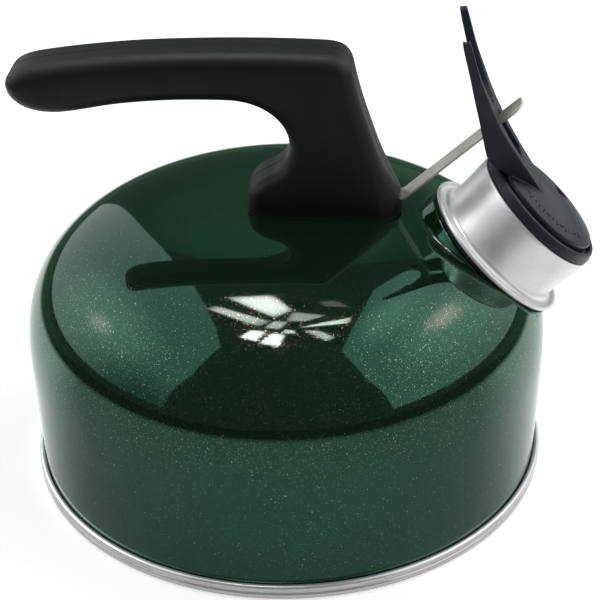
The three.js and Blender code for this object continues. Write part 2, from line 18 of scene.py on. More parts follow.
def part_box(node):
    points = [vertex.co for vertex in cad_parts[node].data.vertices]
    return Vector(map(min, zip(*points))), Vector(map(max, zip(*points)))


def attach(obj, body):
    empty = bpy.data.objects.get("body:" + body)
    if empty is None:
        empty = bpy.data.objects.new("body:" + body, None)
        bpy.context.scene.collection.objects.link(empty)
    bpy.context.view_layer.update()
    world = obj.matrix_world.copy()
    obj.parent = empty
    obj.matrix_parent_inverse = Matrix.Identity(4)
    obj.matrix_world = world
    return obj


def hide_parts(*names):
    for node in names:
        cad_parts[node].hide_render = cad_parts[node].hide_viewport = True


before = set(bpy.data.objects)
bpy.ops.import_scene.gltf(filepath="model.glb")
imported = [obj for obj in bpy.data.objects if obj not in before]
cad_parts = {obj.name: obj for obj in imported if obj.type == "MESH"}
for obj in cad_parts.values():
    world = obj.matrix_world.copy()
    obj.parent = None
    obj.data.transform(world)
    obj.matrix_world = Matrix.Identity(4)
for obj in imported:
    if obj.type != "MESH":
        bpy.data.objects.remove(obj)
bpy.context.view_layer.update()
scene = bpy.context.scene

MM = 0.001

# ---- sizes shared with the CAD part ----
RIM_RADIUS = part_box("base_pan")[1].x / MM
RIM_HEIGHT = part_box("base_pan")[1].z / MM
DRUM_FOOT_RADIUS = 92.6
SHOULDER_RADIUS = 93.8
SHOULDER_HEIGHT = 47.2
DOME_TOP = 100.5
DOME_SIDE_POWER = 2.7
DOME_TOP_POWER = 2.8
DRUM_EDGE = 1.3
SHEET = 1.05
ACROSS = np.array([0, 1.0, 0])

SPOUT_TILT = radians(43)
FLANGE_CENTRE = np.array([74.8, 0.0, 83.4])
SPOUT_AXIS = np.array([sin(SPOUT_TILT), 0, cos(SPOUT_TILT)])
SPOUT_DOWNHILL = np.array([cos(SPOUT_TILT), 0, -sin(SPOUT_TILT)])
BOSS_RADIUS = 28.5
BOSS_TOP = -1.6
BOSS_HOLE_RADIUS = 24.3
BOSS_EDGE = 0.7
BOSS_FILLET = 1.8
FLAT_DEPTH = 0.5
FLAT_SPAN = (28.0, 46.0)
FLANGE_RADIUS = 29.3
NECK_ROOT_RADIUS = 24.6
NECK_MOUTH_RADIUS = 25.2
NECK_TOP = 20.6

GRIP_HALF_WIDTH = 11.4
GRIP_EDGE = 5.4
NOSE_EDGE = 10.6
GRIP_CROWN = 0.45
FOOT_LIFT = 1.5
SHELL_GAP = 0.15
SEAM_CHAMFER = 0.12
LIP_INSET = 1.2
ROOM_HALF_WIDTH = 8.4
SLEEVE_RADIUS = 3.4
SHANK_HOLE = 1.7
HEAD_HOLE = 3.1
HEAD_SEAT = 7.6
HANDLE_SCREWS = [(-3, 108), (5.6, 108), (17, 136), (-32, 150.2), (-79, 146.2)]

STRIP_RISE = radians(42)
PIVOT = np.array([73.5, 0.0, 132.2])
STRIP_TAIL_HEIGHT = 103.8
STRIP_HALF_WIDTH = 4.0
STRIP_HALF_THICKNESS = 0.4
STRIP_BEND = 4.5
STRIP_PAST_PIVOT = 10.4

DISC_RADIUS = 21.3
DISC_FOOT = 22.7
CAP_SCREWS = [(17 * cos(a), 17 * sin(a)) for a in np.radians([0, 120, 240])]
CAP_SCREW_HOLE = 1.3
WEB_SLOPE = radians(20.4)


# ---- mesh helpers ----
def add_object(name, data):
    obj = bpy.data.objects.new(name, data)
    scene.collection.objects.link(obj)
    return obj


def set_local(mesh, local):
    """Keeps each point's own coordinates for its material."""
    attribute = mesh.attributes.new("local", "FLOAT_VECTOR", "POINT")
    attribute.data.foreach_set("vector", np.asarray(local, np.float32).ravel())


def make_mesh(name, points, faces, local=None):
    """A new object from points in millimetres, with its own coordinates if they are given."""
    mesh = bpy.data.meshes.new(name)
    mesh.from_pydata((np.asarray(points, float) * MM).tolist(), [], faces)
    if local is not None:
        set_local(mesh, local)
    return add_object(name, mesh)


@contextmanager
def editing(obj):
    """An object's mesh, open for changes until the block ends."""
    bm = bmesh.new()
    bm.from_mesh(obj.data)
    yield bm
    bm.to_mesh(obj.data)
    bm.free()


def smooth(obj, angle):
    """Smooth shading, with edges sharper than the angle kept crisp."""
    limit = radians(angle)
    with editing(obj) as bm:
        for face in bm.faces:
            face.smooth = True
        for edge in bm.edges:
            edge.smooth = len(edge.link_faces) != 2 or edge.calc_face_angle(0) < limit


def outward(obj):
    """Turns all faces to point out."""
    with editing(obj) as bm:
        bmesh.ops.recalc_face_normals(bm, faces=bm.faces)
    return obj


def add_modifier(obj, kind, **settings):
    modifier = obj.modifiers.new(kind.lower(), kind)
    for key, value in settings.items():
        setattr(modifier, key, value)


def apply_modifiers(obj):
    graph = bpy.context.evaluated_depsgraph_get()
    mesh = bpy.data.meshes.new_from_object(obj.evaluated_get(graph), depsgraph=graph)
    obj.modifiers.clear()
    old = obj.data
    obj.data = mesh
    bpy.data.meshes.remove(old)


def combine(obj, others, operation="DIFFERENCE"):
    """Cuts the other solids from this one, or adds them to it, and removes them."""
    for other in others:
        add_modifier(obj, "BOOLEAN", operation=operation, solver="MANIFOLD", object=other)
    apply_modifiers(obj)
    for other in others:
        bpy.data.meshes.remove(other.data)


def band(first, second):
    """Four-cornered faces between two rings of point numbers."""
    count = len(first)
    return [(first[i], first[(i + 1) % count], second[(i + 1) % count], second[i]) for i in range(count)]


def bands(count, rings, start=0):
    """Faces through rings of equally many points, numbered one ring after another."""
    return [face for k in range(start, start + (rings - 1) * count, count)
            for face in band(range(k, k + count), range(k + count, k + 2 * count))]


def grid_faces(rows, columns, start=0):
    """Faces of a grid of points, numbered row after row."""
    return [(a, a + 1, a + columns + 1, a + columns) for row in range(rows - 1)
            for a in range(start + row * columns, start + (row + 1) * columns - 1)]


def sections(name, rings):
    """A solid through rings of equally many corners, closed at both ends."""
    count = len(rings[0])
    last = (len(rings) - 1) * count
    faces = bands(count, len(rings)) + [tuple(range(count))[::-1], tuple(range(last, last + count))]
    return outward(make_mesh(name, np.vstack(rings), faces))


def rod(start, end, radius, end_radius=None, sides=40):
    """A round bar or a cone between two points."""
    start, end = np.asarray(start, float), np.asarray(end, float)
    axis = (end - start) / np.linalg.norm(end - start)
    first = np.cross(axis, (0, 0, 1) if abs(axis[2]) < 0.8 else (1, 0, 0))
    first /= np.linalg.norm(first)
    second = np.cross(axis, first)
    turn = np.linspace(0, 2 * pi, sides, endpoint=False)[:, None]
    circle = np.cos(turn) * first + np.sin(turn) * second
    return sections("rod", [start + radius * circle, end + (end_radius or radius) * circle])


def spout_rod(u, y, low, high, radius, end_radius=None):
    """A rod along the spout's axis."""
    return rod(*from_spout([(u, y, low), (u, y, high)]), radius, end_radius)


def plate(outline, y_from, y_to):
    """A flat solid across Y from an outline in X and Z."""
    return sections("plate", [[(x, y, z) for x, z in outline] for y in (y_from, y_to)])


def block(size, centre, slope=0.0):
    """A box, turned about Y so that its length climbs at the slope."""
    along = np.array([cos(slope), 0, sin(slope)])
    above = np.array([-sin(slope), 0, cos(slope)])
    a, b, c = size[0] / 2 * along, size[1] / 2 * ACROSS, size[2] / 2 * above
    corners = [np.asarray(centre) + i * a + j * b + k * c
               for i in (-1, 1) for j in (-1, 1) for k in (-1, 1)]
    faces = [(0, 1, 3, 2), (4, 6, 7, 5), (0, 4, 5, 1), (2, 3, 7, 6), (0, 2, 6, 4), (1, 5, 7, 3)]
    return outward(make_mesh("block", corners, faces))


def store_local(obj, place):
    """Keeps each point's own coordinates, as given by a function of its position in millimetres."""
    points = np.empty(len(obj.data.vertices) * 3, np.float32)
    obj.data.vertices.foreach_get("co", points)
    set_local(obj.data, place(points.reshape(-1, 3) / MM))


def from_spout(points):
    """Spout coordinates (u, y, s) to the row frame."""
    points = np.asarray(points, float)
    return (FLANGE_CENTRE + points[:, :1] * SPOUT_DOWNHILL + points[:, 2:3] * SPOUT_AXIS
            + points[:, 1:2] * ACROSS)


def lathe(name, profile, sides=192, in_spout=False):
    """Turns a profile of (radius, height), drawn up the outside first, about its axis."""
    profile = np.asarray(profile, float)
    count = len(profile)
    angles = np.linspace(0, 2 * pi, sides, endpoint=False)
    radius, height = profile[:, 0], profile[:, 1]
    local = np.stack([np.outer(np.cos(angles), radius), np.outer(np.sin(angles), radius),
                      np.tile(height, (sides, 1))], -1).reshape(-1, 3)
    faces = []
    for i in range(sides):
        j = (i + 1) % sides
        for k in range(count):
            n = (k + 1) % count
            faces.append((i * count + k, j * count + k, j * count + n, i * count + n))
    points = from_spout(local) if in_spout else local
    obj = make_mesh(name, points, faces, local)
    with editing(obj) as bm:
        bmesh.ops.remove_doubles(bm, verts=bm.verts, dist=1e-6)
    return outward(obj)


def arc(centre_r, centre_h, size, start, end, steps=8):
    """Points of an arc of a lathe profile, angles in degrees."""
    turn = np.radians(np.linspace(start, end, steps + 1))
    return list(zip(centre_r + size * np.cos(turn), centre_h + size * np.sin(turn)))


def curve_through(points, steps=8):
    """A smooth line through points (Catmull-Rom), in any number of dimensions."""
    p = np.asarray(points, float)
    p = np.vstack([2 * p[0] - p[1], p, 2 * p[-1] - p[-2]])
    out = []
    for i in range(1, len(p) - 2):
        for t in np.linspace(0, 1, steps, endpoint=False):
            out.append(0.5 * (2 * p[i] + (p[i + 1] - p[i - 1]) * t
                              + (2 * p[i - 1] - 5 * p[i] + 4 * p[i + 1] - p[i + 2]) * t ** 2
                              + (3 * p[i] - p[i - 1] - 3 * p[i + 1] + p[i + 2]) * t ** 3))
    out.append(p[-2])
    return np.array(out)


# ---- materials ----
MATERIALS = {}


class Shader:
    """A small builder for the nodes of a material or of the world."""

    def __init__(self, owner, surface="Principled BSDF"):
        owner.use_nodes = True
        self.tree = owner.node_tree
        self.surface = self.tree.nodes[surface]

    def node(self, kind, inputs=None, **settings):
        node = self.tree.nodes.new(kind)
        for key, value in settings.items():
            setattr(node, key, value)
        for key, value in (inputs or {}).items():
            self.feed(node.inputs[key], value)
        return node

    def feed(self, socket, value):
        if isinstance(value, bpy.types.NodeSocket):
            self.tree.links.new(value, socket)
        else:
            socket.default_value = value

    def set(self, **values):
        for key, value in values.items():
            self.feed(self.surface.inputs[key.replace("_", " ")], value)

    def place(self, local):
        """Coordinates in millimetres: a made piece's own, or the row frame's for a CAD node."""
        if local:
            return self.node("ShaderNodeAttribute", attribute_name="local").outputs["Vector"]
        coordinate = self.node("ShaderNodeTexCoord").outputs["Object"]
        return self.stretch(coordinate, (1 / MM, 1 / MM, 1 / MM))

    def stretch(self, vector, scale):
        return self.node("ShaderNodeVectorMath", {0: vector, 1: scale}, operation="MULTIPLY").outputs[0]

    def noise(self, vector, scale, detail=3, roughness=0.55):
        inputs = {"Vector": vector, "Scale": scale, "Detail": detail, "Roughness": roughness}
        return self.node("ShaderNodeTexNoise", inputs).outputs["Fac"]

    def span(self, value, start, end, first=0.0, last=1.0, kind="LINEAR"):
        """Runs from the first value to the last while the input runs from start to end."""
        inputs = {"Value": value, "From Min": start, "From Max": end, "To Min": first, "To Max": last}
        return self.node("ShaderNodeMapRange", inputs, interpolation_type=kind).outputs[0]

    def ramp(self, factor, *stops):
        """A value or colour ramp; stops are (position, grey or colour)."""
        node = self.node("ShaderNodeValToRGB", {"Fac": factor})
        elements = node.color_ramp.elements
        while len(elements) < len(stops):
            elements.new(0.5)
        for element, (position, value) in zip(elements, stops):
            element.position = position
            grey = (value,) * 3 if isinstance(value, (int, float)) else value
            element.color = (*grey, 1)
        return node.outputs["Color"]

    def mix(self, factor, first, second, blend="MIX"):
        node = self.node("ShaderNodeMix", data_type="RGBA", blend_type=blend)
        self.feed(node.inputs[0], factor)
        for socket, value in ((node.inputs[6], first), (node.inputs[7], second)):
            self.feed(socket, (*value, 1) if isinstance(value, tuple) else value)
        return node.outputs[2]

    def math(self, operation, first, second=0.0, third=0.0):
        return self.node("ShaderNodeMath", {0: first, 1: second, 2: third}, operation=operation).outputs[0]

    def bump(self, height, distance_mm, strength):
        inputs = {"Height": height, "Distance": distance_mm * MM, "Strength": strength}
        return self.node("ShaderNodeBump", inputs).outputs["Normal"]


def surface_shader(name):
    """A Shader for a new material, kept in MATERIALS under its name."""
    MATERIALS[name] = bpy.data.materials.new(name)
    return Shader(MATERIALS[name])


def dress(obj, name):
    """Gives an object one of the materials and no other."""
    obj.data.materials.clear()
    obj.data.materials.append(MATERIALS[name])


def glow_shader(name):
    """A Shader for a surface that only gives off light."""
    s = surface_shader(name)
    s.tree.nodes.remove(s.surface)
    s.surface = s.node("ShaderNodeEmission")
    s.feed(s.tree.nodes["Material Output"].inputs["Surface"], s.surface.outputs[0])
    return s


def enamel_material():
    """Dark green glass over steel, faintly rippled, full of gold flecks that mirror what is near them.

    The flecks are few on the wall and thin out again towards the top of the dome.
    """
    s = surface_shader("green_enamel")
    place = s.place(local=True)
    dense = s.noise(place, 0.03, 2)
    height = s.node("ShaderNodeSeparateXYZ", {0: place}).outputs["Z"]
    crowd = s.math("MULTIPLY", s.span(height, 44.0, 64.0, 0.25, 1.05), s.span(height, 78.0, 97.0, 1.0, 0.15))
    spare = s.math("MULTIPLY_ADD", dense, -0.35, 1.17)

    def flecks(scale, share, smallest, spread, brightest):
        """Where the flecks are, how bright each is and its own random hue."""
        cell = s.node("ShaderNodeTexVoronoi", {"Vector": place, "Scale": scale, "Randomness": 1.0})
        pick = s.node("ShaderNodeSeparateColor", {"Color": cell.outputs["Color"]})
        red, green, blue = (pick.outputs[name] for name in ("Red", "Green", "Blue"))
        size = s.math("MULTIPLY_ADD", green, spread, smallest)
        chosen = s.math("GREATER_THAN", red, s.math("MULTIPLY_ADD", crowd, -share, spare))
        mask = s.math("MULTIPLY", chosen, s.math("LESS_THAN", cell.outputs["Distance"], size))
        glint = s.math("MULTIPLY_ADD", s.math("POWER", blue, 1.8), 0.8 * brightest, 0.2 * brightest)
        return mask, s.math("MULTIPLY", mask, glint), green

    large, large_glint, hue = flecks(1.7, 0.48, 0.12, 0.18, 0.88)
    fine, fine_glint, _ = flecks(3.1, 0.54, 0.18, 0.24, 0.7)
    fleck = s.math("MAXIMUM", large, fine)
    glint = s.math("MAXIMUM", large_glint, fine_glint)
    cloud = s.noise(place, 0.02, 4)
    glass = s.ramp(cloud, (0.3, (0.0040, 0.0172, 0.0070)), (0.7, (0.0056, 0.0222, 0.0094)))
    gold = s.ramp(hue, (0.0, (0.48, 0.55, 0.26)), (0.6, (0.50, 0.66, 0.42)), (1.0, (0.66, 0.88, 0.70)))
    s.set(Base_Color=s.mix(fleck, glass, s.mix(glint, (0.0, 0.0, 0.0), gold)),
          Metallic=s.math("MULTIPLY", fleck, 0.9), Roughness=s.math("MULTIPLY_ADD", fleck, 0.10, 0.045),
          IOR=1.8, Specular_Tint=(0.32, 1.0, 0.68, 1), Normal=s.bump(s.noise(place, 0.12, 2), 0.02, 0.6))


def metal_material(name, colour, roughness, brushed=(0.02, 0.02, 2.2), smudge=0.12, local=True, metallic=1.0):
    """Turned metal: fine lines round its axis, uneven polish and faint smudges."""
    s = surface_shader(name)
    place = s.place(local)
    lines = s.noise(s.stretch(place, brushed), 2.0, 4, 0.7)
    patches = s.noise(place, 0.09, 4, 0.6)
    specks = s.noise(place, 1.1, 2)
    tone = s.ramp(patches, (0.3, tuple(c * (1 - smudge) for c in colour)), (0.65, colour))
    worn = s.mix(s.ramp(specks, (0.66, 0.0), (0.74, 0.35)), tone, tuple(c * 0.62 for c in colour))
    rough = s.math("MULTIPLY_ADD", patches, roughness * 0.8, roughness * 0.6)
    s.set(Base_Color=worn, Metallic=metallic, Normal=s.bump(lines, 0.006, 0.8),
          Roughness=s.math("MULTIPLY_ADD", lines, roughness * 0.25, rough))


def plastic_material(name, colour, worn_colour, roughness, grain, grain_depth, local=True):
    """Moulded plastic: a fine grain, slightly shinier where hands rub it."""
    s = surface_shader(name)
    place = s.place(local)
    fine = s.noise(place, grain, 3, 0.6)
    broad = s.noise(place, 0.06, 3)
    rubbed = s.ramp(broad, (0.42, 0.0), (0.68, 1.0))
    rough = s.math("MULTIPLY_ADD", fine, 0.16, roughness - 0.05)
    s.set(Base_Color=s.mix(rubbed, colour, worn_colour), IOR=1.5,
          Roughness=s.math("MULTIPLY_ADD", rubbed, -0.07, rough), Normal=s.bump(fine, grain_depth, 0.7))


EVEN_GRAIN = (0.3, 0.3, 0.3)
enamel_material()
metal_material("polished_aluminium", (0.96, 0.96, 0.97), 0.20, (0.03, 0.03, 1.6), 0.08, metallic=0.65)
metal_material("satin_aluminium", (0.97, 0.97, 0.96), 0.31, metallic=0.62)
metal_material("strip_steel", (0.68, 0.67, 0.59), 0.36, (0.05, 1.6, 1.6), 0.16, metallic=0.80)
plastic_material("handle_plastic", (0.0042, 0.0045, 0.0046), (0.0060, 0.0062, 0.0064), 0.48,
                 2.2, 0.02, local=False)
plastic_material("whistle_plastic", (0.0112, 0.0142, 0.0235), (0.0175, 0.0215, 0.0350), 0.40,
                 1.6, 0.012, local=False)
# also dresses the black ring under the spout flange, which is painted shade; the foot's seat is rubber
plastic_material("black_rubber", (0.006, 0.006, 0.006), (0.010, 0.010, 0.010), 0.62, 1.2, 0.03)
metal_material("fastener_steel", (0.55, 0.55, 0.54), 0.30, EVEN_GRAIN, 0.15, local=False)
metal_material("plate_aluminium", (0.74, 0.74, 0.73), 0.28, EVEN_GRAIN, 0.12, local=False)


def finish_piece(obj, crease, body, slot, *nodes):
    """Gives a made piece its shading, its slot's material and its body, and hides the CAD nodes it stands
    for.
    """
    smooth(obj, crease)
    dress(obj, slot)
    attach(obj, body)
    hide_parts(*nodes)
    return obj


# ---- the enamelled body ----
WALL_STEPS = 300
DOME_STEPS = 1500
PLAIN_RING_SPACING = 2.3
# the plain rings keep this far from the spout's axis, down to this height along it
PLAIN_RING_GAP = 50.5
PLAIN_RING_DEPTH = -45
# below this height a point's place on the dome is read from its height, above it from its radius
STEEP_TOP = 85


def dome_profile():
    """Finely sampled (radius, height) of the drum from its foot to the top of the dome."""
    t = np.linspace(0, 1, DOME_STEPS)
    turn = (pi / 2) * (t - np.sin(2 * pi * t) / (2 * pi))
    radius = SHOULDER_RADIUS * np.clip(np.cos(turn), 0, 1) ** (2 / DOME_SIDE_POWER)
    height = SHOULDER_HEIGHT + (DOME_TOP - SHOULDER_HEIGHT) * np.sin(turn) ** (2 / DOME_TOP_POWER)
    wall = np.linspace(0, 1, WALL_STEPS, endpoint=False)[:, None]
    foot = np.array([DRUM_FOOT_RADIUS, DRUM_EDGE])
    shoulder = np.array([SHOULDER_RADIUS, SHOULDER_HEIGHT])
    return np.vstack([foot + (shoulder - foot) * wall, np.stack([radius, height], 1)])


def outside_drum(points):
    """Positive outside the unpressed drum and dome, negative inside."""
    radius = np.hypot(points[:, 0], points[:, 1])
    height = points[:, 2]
    rise = np.clip((height - SHOULDER_HEIGHT) / (DOME_TOP - SHOULDER_HEIGHT), 0, None)
    dome = (radius / SHOULDER_RADIUS) ** DOME_SIDE_POWER + rise ** DOME_TOP_POWER - 1
    share = (height - DRUM_EDGE) / (SHOULDER_HEIGHT - DRUM_EDGE)
    wall = radius - (DRUM_FOOT_RADIUS + (SHOULDER_RADIUS - DRUM_FOOT_RADIUS) * share)
    return np.where(height > SHOULDER_HEIGHT, dome, wall / SHOULDER_RADIUS)


def ease(value, start, end):
    """Rises gently from 0 at the start to 1 at the end."""
    t = np.clip((value - start) / (end - start), 0, 1)
    return t * t * (3 - 2 * t)


def press_depth(distance):
    """How far the flat round the boss is pressed in, at distances from the spout's axis."""
    return FLAT_DEPTH * (1 - ease(distance, *FLAT_SPAN))


def axis_parts(points):
    """Height along the spout's axis and distance from it."""
    along = (points - FLANGE_CENTRE) @ SPOUT_AXIS
    distance = np.linalg.norm(points - FLANGE_CENTRE - along[:, None] * SPOUT_AXIS, axis=1)
    return along, distance


def triangles(flat, outline, output, margin):
    """Triangles between flat points that keep the edges of an outline of point numbers."""
    edges = list(zip(outline, outline[1:] + outline[:1]))
    result = delaunay_2d_cdt([Vector(p) for p in flat.tolist()], edges, [], output, margin)
    origin = [ids[0] for ids in result[3]]
    return [tuple(origin[i] for i in face) for face in result[2]]


def enamel_body():
    """The drum and dome in one sheet, flowing through a fillet into the tilted boss."""
    profile = dome_profile()
    step = np.linalg.norm(np.diff(profile, axis=0), axis=1)
    length = np.concatenate([[0], np.cumsum(step)])
    # a conformal radius for the flat map: it grows as the drum's own radius does
    mean_radius = np.maximum((profile[1:, 0] + profile[:-1, 0]) / 2, 0.4)
    flat_radius = np.exp(-np.concatenate([[0], np.cumsum(step / mean_radius)]))

    sides = 220
    spots = np.arange(0, length[-1] - 3, PLAIN_RING_SPACING)
    points = []
    flat = []
    for radius, height, mapped in zip(*(np.interp(spots, length, values)
                                        for values in (profile[:, 0], profile[:, 1], flat_radius))):
        count = sides if radius > 40 else max(24, int(sides * radius / 40))
        turn = np.linspace(0, 2 * pi, count, endpoint=False)
        ring = np.stack([radius * np.cos(turn), radius * np.sin(turn), np.full(count, height)], 1)
        along, distance = axis_parts(ring)
        keep = (distance > PLAIN_RING_GAP) | (along < PLAIN_RING_DEPTH)
        points.append(ring[keep])
        flat.append(np.stack([mapped * np.cos(turn), mapped * np.sin(turn)], 1)[keep])
    points.append(np.array([[0, 0, DOME_TOP]]))
    flat.append(np.array([[0.0, 0.0]]))
    outline_start = sum(len(p) for p in points)

    # rings about the spout's axis, closer together near the boss
    turn = np.linspace(0, 2 * pi, 176, endpoint=False)
    count = len(turn)
    radial = np.cos(turn)[:, None] * SPOUT_DOWNHILL + np.sin(turn)[:, None] * ACROSS

    def ring_at(distance):
        """Points of the unpressed drum at given distances from the spout's axis, found by halving."""
        across = FLANGE_CENTRE + distance[:, None] * radial
        high, low = np.full(count, 20.0), np.full(count, -75.0)
        for _ in range(50):
            middle = (high + low) / 2
            out = outside_drum(across + middle[:, None] * SPOUT_AXIS) > 0
            high, low = np.where(out, middle, high), np.where(out, low, middle)
        return across + high[:, None] * SPOUT_AXIS

    seat = axis_parts(ring_at(np.full(count, BOSS_RADIUS + 1)))[0] - press_depth(BOSS_RADIUS)
    fillet = np.clip(0.8 * (BOSS_TOP - BOSS_EDGE - seat), 0.5, BOSS_FILLET)
    for gap in (0, 0.7, 1.5, 2.5, 3.7, 5.1, 6.7, 8.5, 10.5, 12.7, 15, 17.5, 20):
        ring = ring_at(BOSS_RADIUS + fillet + gap * (1 - fillet / 20))
        radius = np.hypot(ring[:, 0], ring[:, 1])
        on_wall = ring[:, 2] <= SHOULDER_HEIGHT
        wall_length = np.interp(ring[:, 2], profile[:WALL_STEPS, 1], length[:WALL_STEPS])
        by_height = np.interp(ring[:, 2], profile[:, 1], length)
        by_radius = np.interp(-radius, -profile[WALL_STEPS - 1:, 0], length[WALL_STEPS - 1:])
        where = np.where(on_wall, wall_length, np.where(ring[:, 2] < STEEP_TOP, by_height, by_radius))
        mapped = np.interp(where, length, flat_radius)
        angle = np.arctan2(ring[:, 1], ring[:, 0])
        points.append(ring)
        flat.append(np.stack([mapped * np.cos(angle), mapped * np.sin(angle)], 1))
    points = np.vstack(points)
    inner_ring = list(range(outline_start, outline_start + count))
    inside = set(inner_ring)
    faces = [face for face in triangles(np.vstack(flat), inner_ring, 0, 1e-9) if not inside.issuperset(face)]

    along, distance = axis_parts(points)
    sink = np.where(along > PLAIN_RING_DEPTH, press_depth(distance), 0)
    points = points - sink[:, None] * SPOUT_AXIS

    # fillet, wall, rounded rim and top of the boss, as more rings from the innermost one; the fillet
    # leaves the dome along the dome's own slope
    seat_height, seat_radius = axis_parts(points[inner_ring])
    next_height, next_radius = axis_parts(points[outline_start + count:outline_start + 2 * count])
    corner = seat_height - fillet * (next_height - seat_height) / (next_radius - seat_radius)
    wall_foot = corner + np.minimum(fillet, 0.8 * (BOSS_TOP - BOSS_EDGE - corner))
    rings = []
    for t in np.linspace(0, 1, 9)[1:]:
        rings.append((BOSS_RADIUS + fillet * (1 - t) ** 2,
                      (1 - t) ** 2 * seat_height + 2 * (1 - t) * t * corner + t ** 2 * wall_foot))
    for share in (0.33, 0.66, 1.0):
        rings.append((BOSS_RADIUS, wall_foot + (BOSS_TOP - BOSS_EDGE - wall_foot) * share))
    for bend in np.radians([18, 36, 54, 72, 90]):
        rings.append((BOSS_RADIUS - BOSS_EDGE * (1 - cos(bend)),
                      BOSS_TOP - BOSS_EDGE * (1 - sin(bend))))
    rings += [(radius, BOSS_TOP) for radius in (26.6, BOSS_HOLE_RADIUS + 0.4, BOSS_HOLE_RADIUS)]
    rings.append((BOSS_HOLE_RADIUS - 0.05, BOSS_TOP - 0.5))
    total = len(points)
    faces += band(inner_ring, range(total, total + count)) + bands(count, len(rings), total)
    offsets = [np.reshape(radius, (-1, 1)) * radial + np.reshape(height, (-1, 1)) * SPOUT_AXIS
               for radius, height in rings]
    points = np.vstack([points] + [FLANGE_CENTRE + offset for offset in offsets])
    obj = outward(make_mesh("enamel_body", points, faces, points))
    with editing(obj) as bm:
        top = max(bm.faces, key=lambda f: f.calc_center_median().z - f.calc_center_median().xy.length)
        if top.normal.z < 0:
            bmesh.ops.reverse_faces(bm, faces=bm.faces)
        bmesh.ops.delete(bm, geom=[v for v in bm.verts if not v.link_faces], context="VERTS")
    add_modifier(obj, "SOLIDIFY", thickness=SHEET * MM, offset=-1)
    apply_modifiers(obj)
    return finish_piece(obj, 40, "kettle", "green_enamel", "kettle_body")


def base_ring():
    """The bright pan under the drum, with its rolled rim."""
    inside = DRUM_FOOT_RADIUS + 0.3
    profile = [(0, 0), (RIM_RADIUS - 12, 0), (RIM_RADIUS - 4, 0.05)]
    profile += arc(RIM_RADIUS - 1.6, 1.62, 1.6, -90, 48, 12)
    profile += arc(RIM_RADIUS - 1.25, RIM_HEIGHT - 1.3, 1.25, -42, 125, 12)
    profile += [(inside + 0.25, RIM_HEIGHT - 0.7), (inside, RIM_HEIGHT - 1.4), (inside, 1.0), (0, 1.0)]
    return finish_piece(lathe("base_ring", profile, 288), 40, "kettle", "polished_aluminium", "base_pan")


def spout_pieces():
    """The spun neck with its rolled flange, and a thin black ring under the flange: painted shade for the
    dark line where the flange meets the boss.
    """
    collar = 23.6
    sheet = 1.0
    outside = arc(FLANGE_RADIUS - 0.9, 0.9, 0.9, -90, 140, 12)
    outside += [(FLANGE_RADIUS - 2.1, 1.28), (FLANGE_RADIUS - 2.35, 1.0), (FLANGE_RADIUS - 2.75, 1.02)]
    outside += [(NECK_ROOT_RADIUS + 2.0 * (1 - sin(b)), 1.1 + 2.0 * (1 - cos(b)))
                for b in np.radians(np.linspace(0, 90, 9))]
    swell = [(NECK_ROOT_RADIUS + out, h) for out, h in ((0, 4.2), (-0.06, 8), (0.12, 12), (0.42, 16))]
    wall = [tuple(p) for p in curve_through(swell + [(NECK_MOUTH_RADIUS, NECK_TOP - 0.6)], 4)]
    lip = [(NECK_MOUTH_RADIUS - 0.12, NECK_TOP - 0.15), (NECK_MOUTH_RADIUS - 0.45, NECK_TOP),
           (NECK_MOUTH_RADIUS - sheet, NECK_TOP - 0.15)]
    inside = [(r - sheet, h) for r, h in reversed(wall)]
    inside += [(NECK_ROOT_RADIUS - sheet, 2.0), (collar - sheet, 0.6), (collar - sheet, -6.2)]
    profile = [(collar, -6.2), (collar, 0)] + outside + wall + lip + inside
    neck = lathe("neck", profile, 240, in_spout=True)
    finish_piece(neck, 50, "kettle", "satin_aluminium", "spout_neck")
    # painted shade: this thin black ring under the flange draws the dark line where the flange meets the boss
    outer = BOSS_RADIUS - 0.3
    dark_layer = [(BOSS_HOLE_RADIUS, BOSS_TOP + 0.3)] + arc(outer - 0.3, BOSS_TOP + 0.6, 0.3, -90, 0, 4)
    dark_layer += arc(outer - 0.3, -0.6, 0.3, 0, 90, 4) + [(BOSS_HOLE_RADIUS, -0.3)]
    shade_ring = lathe("neck_shade_ring", dark_layer, 160, in_spout=True)
    finish_piece(shade_ring, 50, "kettle", "black_rubber", "spout_seal")
    return neck


# ---- handle ----
# cubic curves of the handle's outline in X and Z, each from the end of the one before
HANDLE_START = (2, 66)
HANDLE_CURVES = [
    (10, 66, 20, 66, 28, 66), (36, 66, 42, 72, 42, 80), (42, 88, 42, 96, 42, 103),
    (41, 109, 36, 113, 32.2, 125), (28.5, 136, 26.5, 142, 24.6, 151.5),
    (23.6, 156.2, 21, 158.2, 15, 158.5), (-5, 159.6, -30, 159.2, -48, 158.2),
    (-62, 157.2, -74, 155.8, -83, 154.2), (-88.9, 153.1, -93.2, 150.9, -92.9, 146.4),
    (-92.6, 142.3, -88.6, 138.9, -83.4, 137.7), (-80.9, 137.1, -78, 136.9, -75, 137.1),
    (-68, 137.7, -62, 139.4, -54, 140.4), (-42, 141.8, -30, 142.3, -17, 141.8),
    (-3, 141, 4.6, 131, 2.6, 122.6), (1.2, 117.2, -1.5, 115.6, -5.5, 113.8),
    (-10, 111.6, -12.3, 108, -12.3, 104), (-12.3, 96, -12.3, 88, -12.3, 80),
    (-12.3, 72, -6, 66, 2, 66)]
# the hollow of the stem, in X and Z
STEM_ROOM = [(-9.3, 94), (39, 94), (39, 102), (29, 122), (22, 150), (19, 155.5), (-2, 155.8), (-8, 147),
             (5.5, 137), (5.8, 122), (1, 112.5), (-9.3, 106)]


